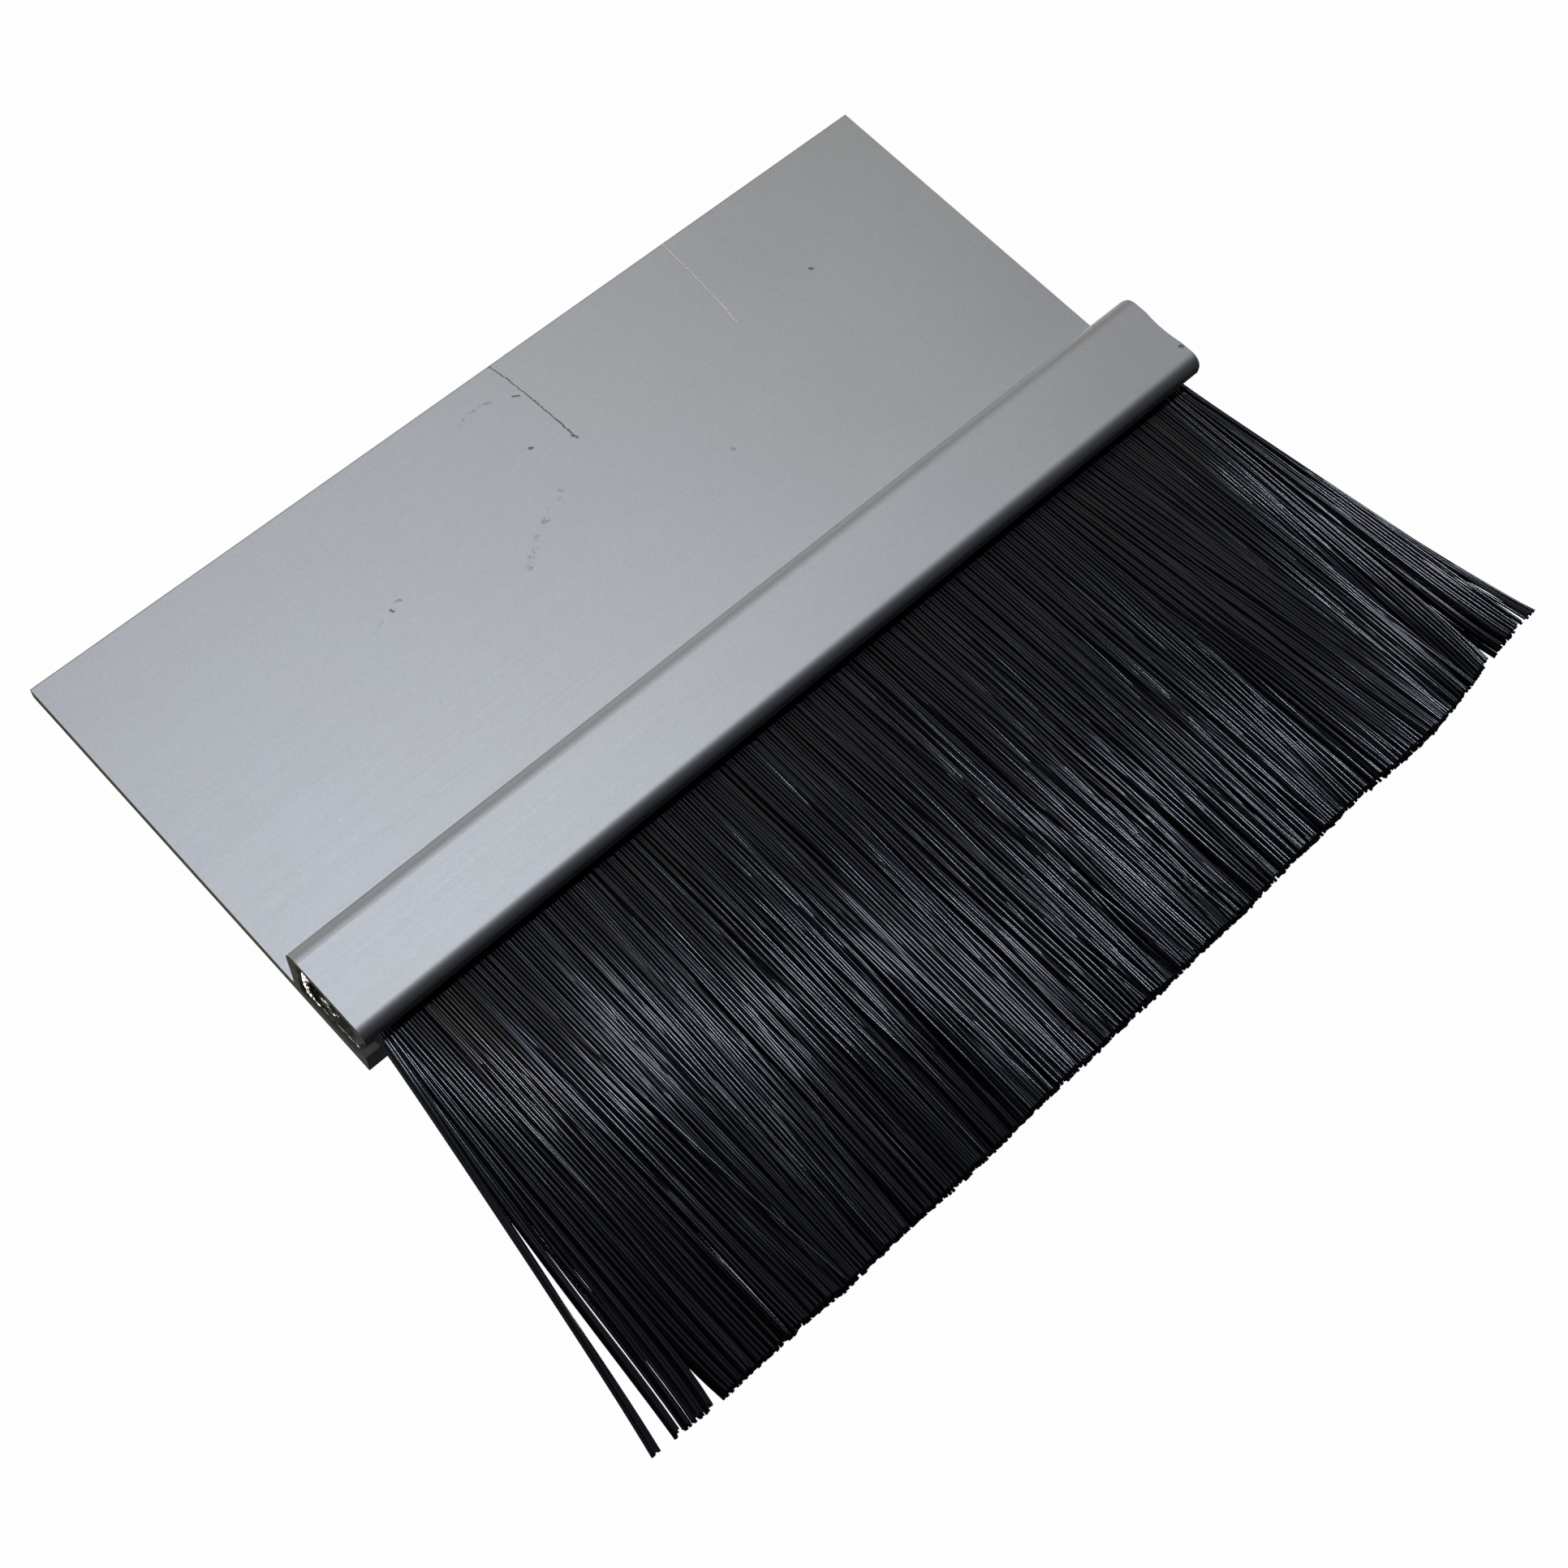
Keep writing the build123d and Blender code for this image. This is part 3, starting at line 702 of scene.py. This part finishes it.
def smear(name, line, half, thick, seed):
    """Closed, lumpy, flattened tube along line, on the cut end."""
    r = np.random.default_rng(seed)
    line = np.array(line) + (PACK_DEPTH, 0.0)
    run = np.concatenate([[0.0], np.cumsum(np.linalg.norm(np.diff(line, axis=0), axis=1))])
    n, k = 30, 10       # rings, and points in each
    t = np.linspace(0.0, run[-1], n)
    centre = np.stack([np.interp(t, run, line[:, 0]), np.interp(t, run, line[:, 1])], -1)
    along = np.gradient(centre, axis=0)
    along /= np.linalg.norm(along, axis=1, keepdims=True)
    across = np.stack([-along[:, 1], along[:, 0]], -1)
    taper = np.sqrt(np.clip(np.minimum(t, run[-1] - t) / (0.25 * run[-1]), 0.02, 1.0))
    width = half * taper * r.uniform(0.55, 1.25, n)
    centre = centre + across * (r.normal(0, 0.12, n) * half)[:, None]
    angle = np.arange(k) * 2 * math.pi / k
    lumps = r.uniform(0.55, 1.35, (n, k))
    offset = across[:, None, :] * width[:, None, None] * np.cos(angle)[None, :, None]
    ring = centre[:, None, :] + offset
    verts = np.stack([SHEARED_X - thick * (taper[:, None] * np.sin(angle) * lumps),
                      -ring[..., 0], ring[..., 1] + EDGE_MM], -1)
    faces = [(i * k + j, i * k + (j + 1) % k, (i + 1) * k + (j + 1) % k, (i + 1) * k + j)
             for i in range(n - 1) for j in range(k)]
    faces += [tuple(range(k))[::-1], tuple((n - 1) * k + j for j in range(k))]
    mesh = bpy.data.meshes.new(name)
    mesh.from_pydata((verts.reshape(-1, 3) * MM).tolist(), [], faces)
    mesh.validate()
    obj = add_object(name, mesh, BURR)
    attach(obj, "brush_strip")
    return obj


burrs = [smear("zinc_burr_sheet", SHEET_BURR, half=0.75, thick=0.30, seed=61),
         smear("zinc_burr_wire", WIRE_BURR, half=0.55, thick=0.26, seed=62)]


def filament_groups():
    """One object for each CAD group, in place of the CAD parts it hides."""
    paths, roots, tints, softs = filament_field()
    owner = group_of(roots)
    for index, group in enumerate(groups):
        pick = owner == index
        bank = index // GROUPS_PER_BANK + 1
        obj = tubes(paths[pick], tints[pick], softs[pick], f"filaments_{index + 1:02d}")
        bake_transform(obj)
        stands = [group]
        if index % GROUPS_PER_BANK == 0:
            stands.append(f"filament_root_{bank}")
        if index == 0:
            stands += ["loose_strand_left_outer", "loose_strand_left_inner"]
        if index == len(groups) - 1:
            stands.append("loose_strand_right")
        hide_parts(*stands)


filament_groups()


# =================================================================== stage
def camera():
    place = Vector((-0.117229, -0.291305, -0.131747))
    # the camera's own axes in the scene
    right = (0.7273194, -0.05651999, -0.68396782)
    up = (0.59938154, -0.43312058, 0.67316294)
    backward = (-0.3342877, -0.89956215, -0.28113996)
    data = bpy.data.cameras.new("camera")
    data.sensor_width = 36.0
    data.lens = 55.6984472
    data.clip_start, data.clip_end = 0.01, 20.0
    obj = add_object("camera", data)
    turned = Matrix((right, up, backward)).transposed()
    obj.matrix_world = Matrix.Translation(place) @ turned.to_4x4()
    scene.camera = obj


def floor():
    """Pale from above, clear from below, and without effect on the light."""
    half = 3.0
    z = min(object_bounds()[0].z, cad_lo.z) - 0.0004
    mesh = bpy.data.meshes.new("floor")
    corners = [(-half, -half, z), (half, -half, z), (half, half, z), (-half, half, z)]
    mesh.from_pydata(corners, [], [(0, 1, 2, 3)])
    g = Graph(bpy.data.materials.new("pale_floor"))
    below = g.node("NewGeometry").outputs["Backfacing"]
    pale = g.node("BsdfDiffuse", [(0.86, 0.86, 0.86, 1)]).outputs[0]
    clear = g.node("BsdfTransparent").outputs[0]
    g.node("OutputMaterial", [g.node("MixShader", [below, pale, clear]).outputs[0]])
    obj = add_object("floor", mesh)
    obj.data.materials.append(g.owner)
    obj.visible_diffuse = False
    obj.visible_glossy = False
    obj.visible_transmission = False
    obj.visible_shadow = False
    obj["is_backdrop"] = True


def studio_world():
    """Near white to the camera; the fill is dim low down, brighter above."""
    scene.world = bpy.data.worlds.new("studio")
    g = Graph(scene.world)
    up = g.split(g.coords("Generated"))[2]
    strength = g.remap(up, span=(0.16, 0.48), to=(0.022, 0.190), smooth=True)
    seen = g.node("Background", [(0.985, 0.985, 0.985, 1), 1.0]).outputs[0]
    fill = g.node("Background", [(0.90, 0.94, 1.0, 1), strength]).outputs[0]
    is_camera = g.node("LightPath").outputs["Is Camera Ray"]
    g.node("OutputWorld", [g.node("MixShader", [is_camera, fill, seen]).outputs[0]])


def area(name, place, size, power, colour=(1, 1, 1), size_y=None):
    """Area lamp aimed at the brush."""
    data = bpy.data.lights.new(name, "AREA")
    data.energy = power
    data.color = colour
    data.size = size
    if size_y:
        data.shape = "RECTANGLE"
        data.size_y = size_y
    obj = add_object(name, data)
    obj.location = place
    obj.visible_camera = False
    aim = Vector((0, 0, -0.03)) - Vector(place)
    obj.rotation_euler = aim.to_track_quat("-Z", "Y").to_euler()
    return obj


def lamps():
    # key: a cool window in front of the show face; warm: a weak lamp to the right
    area("key", tuple(KEY_LIGHT * MM), size=0.10, power=3.38, colour=(0.853, 0.904, 1.0),
         size_y=0.10)
    area("warm", (0.60, -0.80, 0.60), size=0.40, power=0.254, colour=(1.0, 0.68, 0.02))
    area("back", (0.60, 1.0, 0.45), size=0.8, power=7.0)
    # behind the left-hand end, lighting the metal only
    end = area("end", (-0.5, 1.0, 0.5), size=0.6, power=8.0)
    metal = bpy.data.collections.new("metal_ends")
    for obj in [nodes["carrier_extrusion"], nodes["backing_channel"], nodes["core_wire"]] + burrs:
        metal.objects.link(obj)
    end.light_linking.receiver_collection = metal
    area("top", (0.3, 0.25, 1.1), size=0.8, power=2.3, colour=(1.0, 1.0, 0.98))


camera()
floor()
studio_world()
lamps()

scene.view_settings.view_transform = "Standard"
scene.view_settings.look = "None"
scene.view_settings.exposure = 0.0
scene.view_settings.gamma = 1.0
